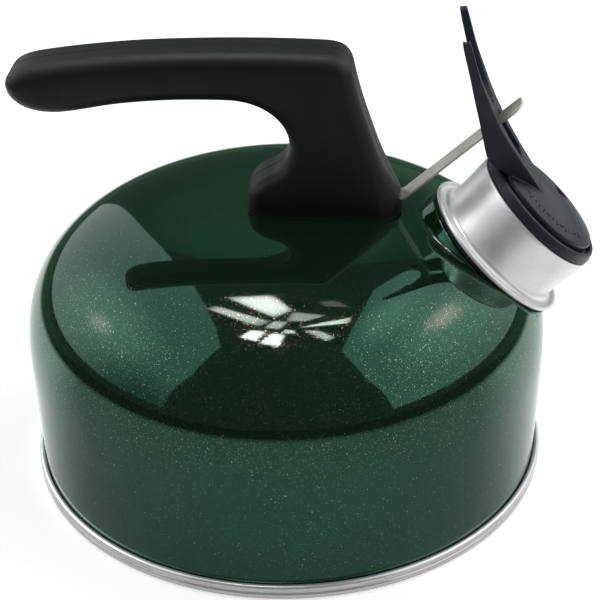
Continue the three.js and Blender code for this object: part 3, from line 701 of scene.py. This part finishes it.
def handle_outline():
    """Points of the outline about 1 mm apart, anticlockwise, and their inward directions."""
    start = np.array(HANDLE_START, float)
    t = np.linspace(0, 1, 80, endpoint=False)[:, None]
    points = []
    for c in HANDLE_CURVES:
        a, b, end = np.array(c, float).reshape(3, 2)
        points.append((1 - t) ** 3 * start + 3 * (1 - t) ** 2 * t * a
                      + 3 * (1 - t) * t ** 2 * b + t ** 3 * end)
        start = end
    points = np.vstack(points)
    closed = np.vstack([points, points[:1]])
    length = np.concatenate([[0], np.cumsum(np.linalg.norm(np.diff(closed, axis=0), axis=1))])
    even = np.linspace(0, length[-1], int(length[-1]), endpoint=False)
    points = np.stack([np.interp(even, length, closed[:, k]) for k in (0, 1)], 1)
    along = np.roll(points, -2, 0) - np.roll(points, 2, 0)
    along /= np.linalg.norm(along, axis=1)[:, None]
    return points, np.stack([-along[:, 1], along[:, 0]], 1)


def inside_polygon(points, outline):
    """Which points lie inside an outline, by counting the edges to their right."""
    a, b = outline, np.roll(outline, -1, 0)
    x, y = points[:, :1], points[:, 1:]
    spans = (a[:, 1] > y) != (b[:, 1] > y)
    rise = np.where(b[:, 1] == a[:, 1], 1, b[:, 1] - a[:, 1])
    left = x < (b[:, 0] - a[:, 0]) * (y - a[:, 1]) / rise + a[:, 0]
    return (spans & left).sum(1) % 2 == 1


def fill_flat(outline, spacing):
    """Triangles of a flat outline with a grid of points inside it; the outline's points come first."""
    ranges = [np.arange(low, high, spacing) for low, high in zip(outline.min(0), outline.max(0))]
    grid = np.stack(np.meshgrid(*ranges), -1).reshape(-1, 2)
    grid = grid[inside_polygon(grid, outline)]
    gap = np.linalg.norm(grid[:, None] - outline[None], axis=2).min(1)
    grid = grid[gap > 0.6 * spacing]
    points = np.vstack([outline, grid])
    return points, triangles(points, list(range(len(outline))), 1, 1e-7)


def dome_cutter(lift):
    """Everything under the pressed dome raised by a lift, below the handle."""
    x, y = np.meshgrid(np.arange(-24, 56, 1.6), np.arange(-17, 17.1, 1.7), indexing="ij")
    share = np.hypot(x, y) / (SHOULDER_RADIUS + lift)
    rise = (1 - share ** DOME_SIDE_POWER) ** (1 / DOME_TOP_POWER)
    z = SHOULDER_HEIGHT + (DOME_TOP + lift - SHOULDER_HEIGHT) * rise
    top = np.stack([x, y, z], -1).reshape(-1, 3)
    top = top - press_depth(axis_parts(top)[1])[:, None] * SPOUT_AXIS
    bottom = top.copy()
    bottom[:, 2] = 50
    number = np.arange(x.size).reshape(x.shape)
    faces = grid_faces(*x.shape)
    faces += [(a, d, c, b) for a, b, c, d in grid_faces(*x.shape, x.size)]
    rim = np.concatenate([number[:, 0], number[-1, 1:], number[-2::-1, -1], number[0, -2:0:-1]])
    faces += band(rim.tolist(), (x.size + rim).tolist())
    return outward(make_mesh("dome_cutter", np.vstack([top, bottom]), faces))


def handle_half(name, side):
    """One half of the handle: rounded along its outline, faintly crowned on its face, hollow in the stem."""
    outline, inward = handle_outline()
    count = len(outline)
    # the nose, in front of X 20, gets rounder over the 16 mm below Z 120
    near_nose = ease(outline[:, 1], 120, 104) * (outline[:, 0] > 20)
    radius = (GRIP_EDGE + (NOSE_EDGE - GRIP_EDGE) * near_nose)[:, None]
    face_y = GRIP_HALF_WIDTH - GRIP_CROWN
    rings = [(outline + SEAM_CHAMFER * inward, np.full((count, 1), SHELL_GAP)),
             (outline, np.full((count, 1), SHELL_GAP + SEAM_CHAMFER)),
             (outline, np.maximum((face_y - radius) * 0.5, SHELL_GAP + 1.5 * SEAM_CHAMFER))]
    for bend in np.radians(np.arange(0, 81, 8)):
        rings.append((outline + radius * (1 - cos(bend)) * inward,
                      face_y - radius * (1 - sin(bend))))
    points = [np.hstack([xz[:, :1], y, xz[:, 1:]]) for xz, y in rings]
    faces = bands(count, len(rings))

    faces += fill_flat(rings[0][0], 1000)[1]
    face_points, face_faces = fill_flat(rings[-1][0], 2.2)
    start = (len(rings) - 1) * count
    faces += [tuple(start + i for i in face) for face in face_faces]
    # the face swells from its edge towards its full width
    y = np.full(len(face_points), float(GRIP_HALF_WIDTH))
    y[:count] = rings[-1][1][:, 0]
    pairs = np.array(sorted({tuple(sorted((f[i], f[(i + 1) % 3]))) for f in face_faces for i in range(3)}))
    one, other = pairs.T
    neighbours = np.bincount(pairs.ravel(), minlength=len(y))
    pull = 0.10
    for _ in range(160):
        total = np.bincount(one, y[other], len(y)) + np.bincount(other, y[one], len(y))
        relaxed = (total / np.maximum(neighbours, 1) + pull * GRIP_HALF_WIDTH) / (1 + pull)
        y[count:] = relaxed[count:]
    points.append(np.stack([face_points[count:, 0], y[count:], face_points[count:, 1]], 1))
    points = np.vstack(points) * np.array([1, side, 1])
    shell = outward(make_mesh(name, points, faces))

    if side < 0:
        # a lip behind the seam closes the hairline between the halves
        combine(shell, [plate(outline + LIP_INSET * inward, -1.0, SHELL_GAP - 0.02)], "UNION")
    # the hollow stays clear of the rounded nose and of the screws' sleeves
    room = plate(STEM_ROOM, -ROOM_HALF_WIDTH, ROOM_HALF_WIDTH)
    combine(room, [block((12, 7, 16), (39, corner * ROOM_HALF_WIDTH, 98)) for corner in (-1, 1)])
    combine(room, [rod((x, -12, z), (x, 12, z), SLEEVE_RADIUS) for x, z in HANDLE_SCREWS[:3]])
    cutters = [dome_cutter(FOOT_LIFT), room, block((14, 9, 3.4), (40, 0, STRIP_TAIL_HEIGHT + 0.6)),
               block((17.2, 2.6, 12.6), (1.3, 0, DOME_TOP + 4.9))]
    for x, z in HANDLE_SCREWS:
        cutters.append(rod((x, -9, z), (x, 12.4, z), SHANK_HOLE))
        if side > 0:
            cutters.append(rod((x, HEAD_SEAT, z), (x, 12.4, z), HEAD_HOLE))
    combine(shell, cutters)
    finish_piece(shell, 38, "kettle", "handle_plastic", name)


def foot_gasket():
    """The thin seat under the foot, rounder at the nose like the handle above it."""
    corners = ((-8.2, -6.9, 3.8, 180), (31.4, -1.0, 9.7, 270), (31.4, 1.0, 9.7, 0), (-8.2, 6.9, 3.8, 90))
    plan = [point for x, y, size, start in corners for point in arc(x, y, size, start, start + 90, 8)]
    dark_layer = sections("foot_gasket_piece", [[(x, y, z) for x, y in plan] for z in (80, 110)])
    combine(dark_layer, [dome_cutter(0.05)])
    combine(dark_layer, [dome_cutter(FOOT_LIFT - 0.03)], "INTERSECT")
    store_local(dark_layer, lambda p: p)
    finish_piece(dark_layer, 40, "kettle", "black_rubber", "foot_gasket")


# ---- whistle strip ----
def strip_piece():
    """The flat strip that leaves the foot, bends upwards and carries the whistle on its notched edges."""
    bend_x = PIVOT[0] - (PIVOT[2] - STRIP_TAIL_HEIGHT) / tan(STRIP_RISE)
    bend = np.array([bend_x, 0, STRIP_TAIL_HEIGHT])
    climb = np.array([cos(STRIP_RISE), 0, sin(STRIP_RISE)])
    end = (PIVOT[0] - bend_x) / cos(STRIP_RISE) + STRIP_PAST_PIVOT
    tangent = STRIP_BEND * tan(STRIP_RISE / 2)
    rings = []

    def section(centre, slope, far=STRIP_HALF_WIDTH, near=STRIP_HALF_WIDTH):
        normal = np.array([-sin(slope), 0, cos(slope)]) * STRIP_HALF_THICKNESS
        rings.append([centre + normal + [0, far, 0], centre + normal - [0, near, 0],
                      centre - normal - [0, near, 0], centre - normal + [0, far, 0]])

    section(np.array([16.6, 0, STRIP_TAIL_HEIGHT]), 0)
    for slope in np.linspace(0, STRIP_RISE, 9):
        section(bend + [STRIP_BEND * sin(slope) - tangent, 0, STRIP_BEND * (1 - cos(slope))], slope)
    # the far corner of the tip is nearly square, the near one is cut back
    tip = ((3.3, 4, 4), (2.2, 4, 3.5), (1.1, 4, 2.7), (0.5, 3.95, 2.1), (0, 3.5, 1.4))
    for back_from_end, far, near in tip:
        section(bend + climb * (end - back_from_end), STRIP_RISE, far, near)
    strip = sections("strip", rings)
    notches = [block((4.2, 2, 4), PIVOT + [0, side * (STRIP_HALF_WIDTH - 0.8 + 1), 0], STRIP_RISE)
               for side in (-1, 1)]
    combine(strip, notches + [rod((22, 0, 100), (22, 0, 108), 2.2)])
    add_modifier(strip, "BEVEL", width=0.1 * MM, segments=2, limit_method="ANGLE",
                 angle_limit=radians(40))
    apply_modifiers(strip)
    off_strip = [-climb[2], 0, climb[0]]
    store_local(strip, lambda p: np.stack([(p - bend) @ climb, p[:, 1], (p - bend) @ off_strip], 1))
    return finish_piece(strip, 22, "kettle", "strip_steel", "whistle_strip")


# ---- whistle cap ----
def whistle_ring():
    """The cap's rounded outer ring, with a groove between it and the disc."""
    profile = [(12, 20.9), (24.65, 20.9), (24.9, 21.15), (24.9, 21.9), (24.62, 22.7)]
    profile += arc(23.34, 23.5, 0.9, 10, 90, 8) + arc(22.95, 24.05, 0.35, 90, 175, 4)
    profile += [(22.5, 22.4), (12, 22.4)]
    ring = lathe("whistle_ring", profile, 240, in_spout=True)
    combine(ring, [spout_rod(u, y, 18, 25, CAP_SCREW_HOLE) for u, y in CAP_SCREWS])
    finish_piece(ring, 40, "whistle", "whistle_plastic", "whistle_ring")


# front u, front s, back u, back s and half-width of the lever, from the prongs' tips down to the disc
LEVER_STATIONS = [
    (-65.9, 51.95, -66.7, 51.05, 17.5), (-65.4, 52.1, -67.1, 50.15, 17.4), (-54.9, 45.9, -57.3, 43.6, 16.3),
    (-46.7, 41.8, -50, 38.6, 15), (-38.5, 38, -43.6, 34.3, 13.4), (-30.7, 35.1, -37, 29.8, 11.6),
    (-25.7, 33.6, -32.6, 26.8, 10.3), (-20, 32.0, -28, 24.9, 9.1), (-15, 30.7, -20.5, 24.9, 8.2),
    (-9.6, 29.3, -14, 25.4, 7.7), (-4.6, 28.1, -7, 26.2, 7.3)]
# what is cut from the lever: the channel in its back and the gap between the prongs
CHANNEL_STATIONS = [
    (-47.5, 39.3, -53, 34.5, 12.3), (-39.3, 35.6, -46, 30, 10.8), (-31.5, 32.7, -40, 25, 9),
    (-26.4, 31.2, -36, 21, 7.7), (-21, 29.9, -31, 18, 6.5)]
NOTCH_STATIONS = [
    (-70, 58, -76, 48, 15.2), (-64, 56, -70, 44, 14.4), (-53, 50, -60, 38, 12.6), (-44, 44, -52, 32, 8.4),
    (-38.6, 41, -46, 30, 2.6)]


def across_y(name, stations):
    """A solid through stations like those above, as wide as they say across Y."""
    rings = [from_spout([(fu, -half, fs), (fu, half, fs), (bu, half, bs), (bu, -half, bs)])
             for fu, fs, bu, bs, half in curve_through(stations, 6)]
    return sections(name, rings)


def crown_height(radius, drop=0.0):
    """Height along the spout's axis of the domed disc, or of a surface under it."""
    return 25.9 + 3.2 * (1 - (radius / DISC_RADIUS) ** 2) - drop


def whistle_lever():
    """The domed disc and its two-pronged lever, moulded in one with soft edges."""
    radii = np.linspace(0, 19, 14)
    profile = [(r, crown_height(r, 2)) for r in radii] + [(19, DISC_FOOT), (DISC_RADIUS, DISC_FOOT)]
    profile += arc(DISC_RADIUS - 0.7, 25.4, 0.7, 0, 75, 5)
    profile += [(r, crown_height(r)) for r in np.linspace(20, 0, 16)]
    cap = lathe("whistle_lever", profile, 160, in_spout=True)
    lever = across_y("lever", LEVER_STATIONS)
    web = SPOUT_TILT + WEB_SLOPE
    up_web = np.array([-cos(web), 0, sin(web)])
    out_of_web = np.array([sin(web), 0, cos(web)])
    slot = block((16.6, 9, 12), PIVOT - 5.9 * up_web, pi - web)
    combine(lever, [across_y("channel", CHANNEL_STATIONS), across_y("notch", NOTCH_STATIONS), slot])
    lugs = [block((1.4, 1.5, 2.2), PIVOT - 0.2 * out_of_web + [0, side * 4.35, 0], pi - web)
            for side in (-1, 1)]
    posts = [spout_rod(u, y, DISC_FOOT, crown_height(17, 0.6), 2.6) for u, y in CAP_SCREWS]
    ribs = []
    for u, s, half in ((-32.4, 27.4, 10.2), (-30.9, 26.4, 9.9), (-29.3, 25.6, 9.5)):
        for side in (-1, 1):
            ends = from_spout([(u, side * (half - 2.4), s), (u, side * (half + 0.15), s)])
            ribs.append(rod(*ends, 0.75, sides=16))
    combine(cap, [lever] + lugs + posts + ribs, "UNION")
    combine(cap, [spout_rod(4.5, 8.2, 18, 40, 2.7), spout_rod(4.5, 8.2, 27.9, 30, 2.9, 4.4)]
            + [spout_rod(u, y, 18, 26, CAP_SCREW_HOLE) for u, y in CAP_SCREWS])
    add_modifier(cap, "REMESH", mode="VOXEL", voxel_size=0.3 * MM)
    add_modifier(cap, "SMOOTH", factor=0.5, iterations=5)
    apply_modifiers(cap)
    # small raised ticks, bars and dots along the disc's near edge
    kinds = {"tick": (15.9, 17.9, 0), "bar": (16.9, 16.9, 0.05), "dot": (16.7, 17.1, 0)}
    marks = []
    for i, kind in enumerate("tick bar tick dot tick tick bar dot tick bar tick tick dot bar tick".split()):
        middle = radians(-143 + 7.1 * i)
        inner, outer, half_turn = kinds[kind]
        ends = [(r * cos(angle), r * sin(angle), crown_height(r) - 0.1)
                for r, angle in ((inner, middle - half_turn), (outer, middle + half_turn))]
        marks.append(rod(*from_spout(ends), 0.38, sides=10))
    combine(cap, marks, "UNION")
    finish_piece(cap, 50, "whistle", "whistle_plastic", "whistle_lever")


enamel = enamel_body()
rim = base_ring()
neck = spout_pieces()
handle_half("handle_shell_left", 1)
handle_half("handle_shell_right", -1)
foot_gasket()
strip = strip_piece()
whistle_ring()
whistle_lever()

# ---- CAD nodes that stay as they are ----
KEPT = {
    "fastener_steel": [
        "handle_saddle", "saddle_rivet_left", "saddle_rivet_right", "saddle_rivet_front",
        "handle_screw_foot_rear", "handle_screw_foot_front", "handle_screw_stem", "handle_screw_middle",
        "handle_screw_end", "strip_washer", "strip_nut", "spout_lock_ring", "plug_skirt",
        "cap_screw_1", "cap_screw_2", "cap_screw_3"],
    "plate_aluminium": ["whistle_upper_plate", "whistle_spacer", "whistle_lower_plate"],
}
for material, names in KEPT.items():
    for name in names:
        dress(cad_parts[name], material)


# ---- floor, light and camera ----
def floor_material():
    """Plain pale floor, kept light to the camera, with a glow of its own in the kettle's reflections.

    In reflections it is lightest on the far side and close to the kettle, and fades out far away.
    """
    s = surface_shader("floor")
    place = s.place(local=False)
    pale = s.ramp(s.noise(place, 0.004, 2), (0.3, 0.84), (0.7, 0.88))
    distance = s.node("ShaderNodeVectorMath", {0: place}, operation="LENGTH").outputs["Value"]
    across = s.node("ShaderNodeSeparateXYZ", {0: place}).outputs["Y"]
    path = s.node("ShaderNodeLightPath")
    to_camera, in_mirror = path.outputs["Is Camera Ray"], path.outputs["Is Glossy Ray"]
    far = s.span(distance, 370.0, 520.0)
    lift = s.span(distance, 100.0, 1500.0, 0.57, 0.78)
    side = s.span(across, -75.0, 30.0, 0.0, 0.62, "SMOOTHSTEP")
    behind = s.span(across, 60.0, 260.0)
    hugging = s.span(distance, 98.0, 135.0, 1.3, 1.0)
    white = s.math("MULTIPLY", s.math("MULTIPLY", side, hugging), s.math("SUBTRACT", 1.0, far))
    mirrored = s.mix(s.math("MULTIPLY", far, behind), white, (0.06, 0.12, 0.085))
    s.set(Base_Color=s.mix(s.math("MULTIPLY", far, in_mirror), pale, (0.02, 0.02, 0.02)), Roughness=0.8,
          Specular_IOR_Level=0.1, Emission_Color=s.mix(to_camera, mirrored, lift),
          Emission_Strength=s.math("MAXIMUM", to_camera, in_mirror))


floor = make_mesh("floor", [(-9000, -9000, 0), (9000, -9000, 0), (9000, 9000, 0), (-9000, 9000, 0)],
                  [(0, 1, 2, 3)])
floor.location.z = -0.0004
floor_material()
dress(floor, "floor")


def softbox(name, centre, target, size, radiance):
    """A rectangular light of a given brightness, unseen by the camera, in metres."""
    light = bpy.data.lights.new(name, "AREA")
    light.shape = "RECTANGLE"
    light.size, light.size_y = size
    light.energy = radiance * 4 * size[0] * size[1]
    obj = add_object(name, light)
    facing = (Vector(centre) - Vector(target)).to_track_quat("Z", "Y")
    obj.matrix_world = Matrix.Translation(centre) @ facing.to_matrix().to_4x4()
    obj.visible_camera = False
    return obj


def glowing_panel(name, outline, base, glows):
    """A flat translucent panel lit from behind, in metres: an even colour with soft round glows."""
    obj = make_mesh(name, np.array(outline) / MM, [tuple(range(len(outline)))])
    s = glow_shader(name)
    spot = s.node("ShaderNodeTexCoord").outputs["Object"]
    total = base
    for centre, radius, colour in glows:
        away = s.node("ShaderNodeVectorMath", {0: spot, 1: centre}, operation="DISTANCE").outputs["Value"]
        fade = s.span(away, 0.0, radius, 1.0, 0.0, "SMOOTHERSTEP")
        total = s.node("ShaderNodeVectorMath", {0: fade, 1: colour, 2: total},
                       operation="MULTIPLY_ADD").outputs[0]
    s.set(Color=total)
    dress(obj, name)
    obj.visible_camera = False


def light_only(light, lit=(), unlit=()):
    """Limits a light to some objects, or keeps it off some."""
    group = bpy.data.collections.new(light.name + "_receivers")
    light.light_linking.receiver_collection = group
    for obj in (*lit, *unlit):
        group.objects.link(obj)
    for entry in group.collection_objects:
        entry.light_linking.link_state = "EXCLUDE" if unlit else "INCLUDE"


WALL_M = 0.62
BACK_M = 1.3
# each panel's outline, its even colour, and its glows: centre, radius and colour
LEFT_EDGE = [(-0.62, 0.15), (-0.64, 0.9), (-0.50, 1.4), (-0.30, 1.98), (0.2, 2.05), (0.7, 1.9), (1.15, 1.6),
             (1.3, 1.1), (1.3, 0.07)]
glowing_panel("left_panel", [(-WALL_M, y, z) for y, z in LEFT_EDGE], (0.755, 0.765, 0.80), [
    ((-WALL_M, 0.12, 0.52), 0.62, (0.65, 0.65, 0.63)),
    ((-WALL_M, 0.09, 0.46), 0.14, (2.0, 0.9, 1.2)),
    ((-WALL_M, -0.45, 0.1), 0.66, (-0.52, -0.49, -0.49))])
RIGHT_EDGE = [(-0.62, 0.15), (-0.68, 0.9), (-0.60, 1.35), (-0.42, 2.1), (0.3, 2.3), (1.3, 2.3), (1.3, 0.05)]
glowing_panel("right_panel", [(WALL_M, y, z) for y, z in RIGHT_EDGE], (0.81, 0.825, 0.86), [
    ((WALL_M, 0.15, 0.65), 0.70, (0.68, 0.68, 0.66)),
    ((WALL_M, 0.18, 0.72), 0.22, (4.2, 1.3, 1.9)),
    ((WALL_M, 0.35, 1.5), 0.8, (0.7, 0.7, 0.7))])
BACK_EDGE = [(-0.62, 0.1), (-0.68, 0.85), (-0.63, 1.16), (-0.46, 1.44), (-0.25, 1.53), (0.25, 1.53),
             (0.46, 1.44), (0.63, 1.16), (0.68, 0.85), (0.62, 0.1)]
glowing_panel("back_panel", [(x, BACK_M, z) for x, z in BACK_EDGE], (0.06, 0.10, 0.08), [
    ((-0.1, BACK_M, 1.15), 0.9, (0.09, 0.16, 0.12)),
    ((0.40, BACK_M, 0.2), 0.55, (0.09, 0.15, 0.10))])

CEILING_M = 2.0
# bright folds of cloth overhead, seen in the enamel: brightness and corners of each
FOLDS = [
    (25, (-0.50, 0.93), (-0.16, 1.00), (0.0, 0.62), (-0.12, 0.42)),
    (15, (-0.66, 0.66), (-0.58, 0.74), (-0.14, 0.36), (-0.24, 0.22)),
    (36, (-0.42, -0.03), (-0.29, 0.16), (-0.17, 0.13), (-0.26, -0.16)),
    (36, (-0.25, -0.19), (-0.13, 0.09), (-0.01, 0.05), (-0.05, -0.30)),
    (21, (0.05, 0.20), (0.20, 0.30), (0.48, 0.47), (0.50, 0.32)),
    (9, (-0.04, 0.36), (-0.01, 0.60), (0.28, 0.50), (0.10, 0.34)),
    (13, (0.10, 0.16), (0.24, 0.16), (0.44, -0.03), (0.38, -0.14)),
    (12, (-0.21, 0.20), (-0.13, 0.38), (-0.01, 0.36), (-0.06, 0.17)),
    (18, (-0.05, 0.08), (-0.03, 0.17), (0.06, 0.15), (0.08, 0.06)),
    (2.4, (0.14, 0.82), (0.26, 0.86), (0.44, 0.68), (0.22, 0.70))]


def ceiling_folds():
    """Soft-edged patches of light; each fades towards its own edges."""
    steps = 12
    points, faces, glow = [], [], []
    for radiance, *corners in FOLDS:
        a, b, c, d = np.array(corners)
        faces += grid_faces(steps + 1, steps + 1, len(points))
        for i in range(steps + 1):
            for j in range(steps + 1):
                u, v = i / steps, j / steps
                x, y = (1 - u) * ((1 - v) * a + v * b) + u * ((1 - v) * d + v * c)
                points.append((x, y, CEILING_M))
                fade = (1 - abs(2 * u - 1) ** 5) * (1 - abs(2 * v - 1) ** 5)
                glow.append(radiance * fade)
    obj = make_mesh("ceiling_folds", np.array(points) / MM, faces)
    obj.data.attributes.new("glow", "FLOAT", "POINT").data.foreach_set("value", glow)
    s = glow_shader("ceiling_folds")
    s.set(Color=(1.0, 0.43, 0.55, 1),
          Strength=s.node("ShaderNodeAttribute", attribute_name="glow").outputs["Fac"])
    dress(obj, "ceiling_folds")
    obj.visible_camera = False
    obj.visible_diffuse = False
    return obj


light_only(ceiling_folds(), lit=[enamel])
for i, (x, y, width, length, radiance) in enumerate((
        (-0.26, 0.70, 0.46, 0.30, 6), (-0.20, -0.05, 0.44, 0.28, 9), (0.27, 0.30, 0.46, 0.34, 5))):
    light_only(softbox(f"overhead_{i}", (x, y, 1.97), (x, y, 0), (width, length), radiance),
               unlit=[enamel, floor])
light_only(softbox("metal_left", (-0.60, 0.10, 0.36), (0.09, 0, 0.09), (0.7, 0.5), 1.15),
           lit=[neck, rim, strip])
light_only(softbox("neck_below", (0.26, -0.24, 0.004), (0.26, -0.24, 1), (0.5, 0.4), 0.2), lit=[neck])

# the room: white to the camera, a soft fill on matt surfaces and dim in reflections
scene.world = bpy.data.worlds.new("studio")
room = Shader(scene.world, "Background")
path = room.node("ShaderNodeLightPath")
fill = room.math("MULTIPLY_ADD", path.outputs["Is Diffuse Ray"], 0.32, 0.07)
room.set(Color=(1, 1, 1, 1), Strength=room.math("MAXIMUM", fill, path.outputs["Is Camera Ray"]))

scene.view_settings.view_transform = "Standard"

CAMERA_DISTANCE = 572.5
CAMERA_ELEVATION = radians(30.95)
CAMERA_AZIMUTH = radians(4.5)
CAMERA_ROLL = radians(-1.39)
TARGET_HEIGHT = 60.26
FOCAL_PIXELS = 1566.0
PICTURE_PIXELS = 600
SENSOR_MM = 36
camera_data = bpy.data.cameras.new("camera")
camera_data.sensor_width = SENSOR_MM
camera_data.lens = FOCAL_PIXELS * SENSOR_MM / PICTURE_PIXELS
camera_data.shift_x = 0.0233
camera_data.shift_y = -0.0013
camera_data.clip_start = 0.01
camera = add_object("camera", camera_data)
turns = ((CAMERA_AZIMUTH, "Z"), (pi / 2 - CAMERA_ELEVATION, "X"), (CAMERA_ROLL, "Z"))
azimuth, elevation, roll = (Matrix.Rotation(angle, 4, axis) for angle, axis in turns)
camera.matrix_world = (Matrix.Translation((0, 0, TARGET_HEIGHT * MM)) @ azimuth @ elevation @ roll
                       @ Matrix.Translation((0, 0, CAMERA_DISTANCE * MM)))
scene.camera = camera
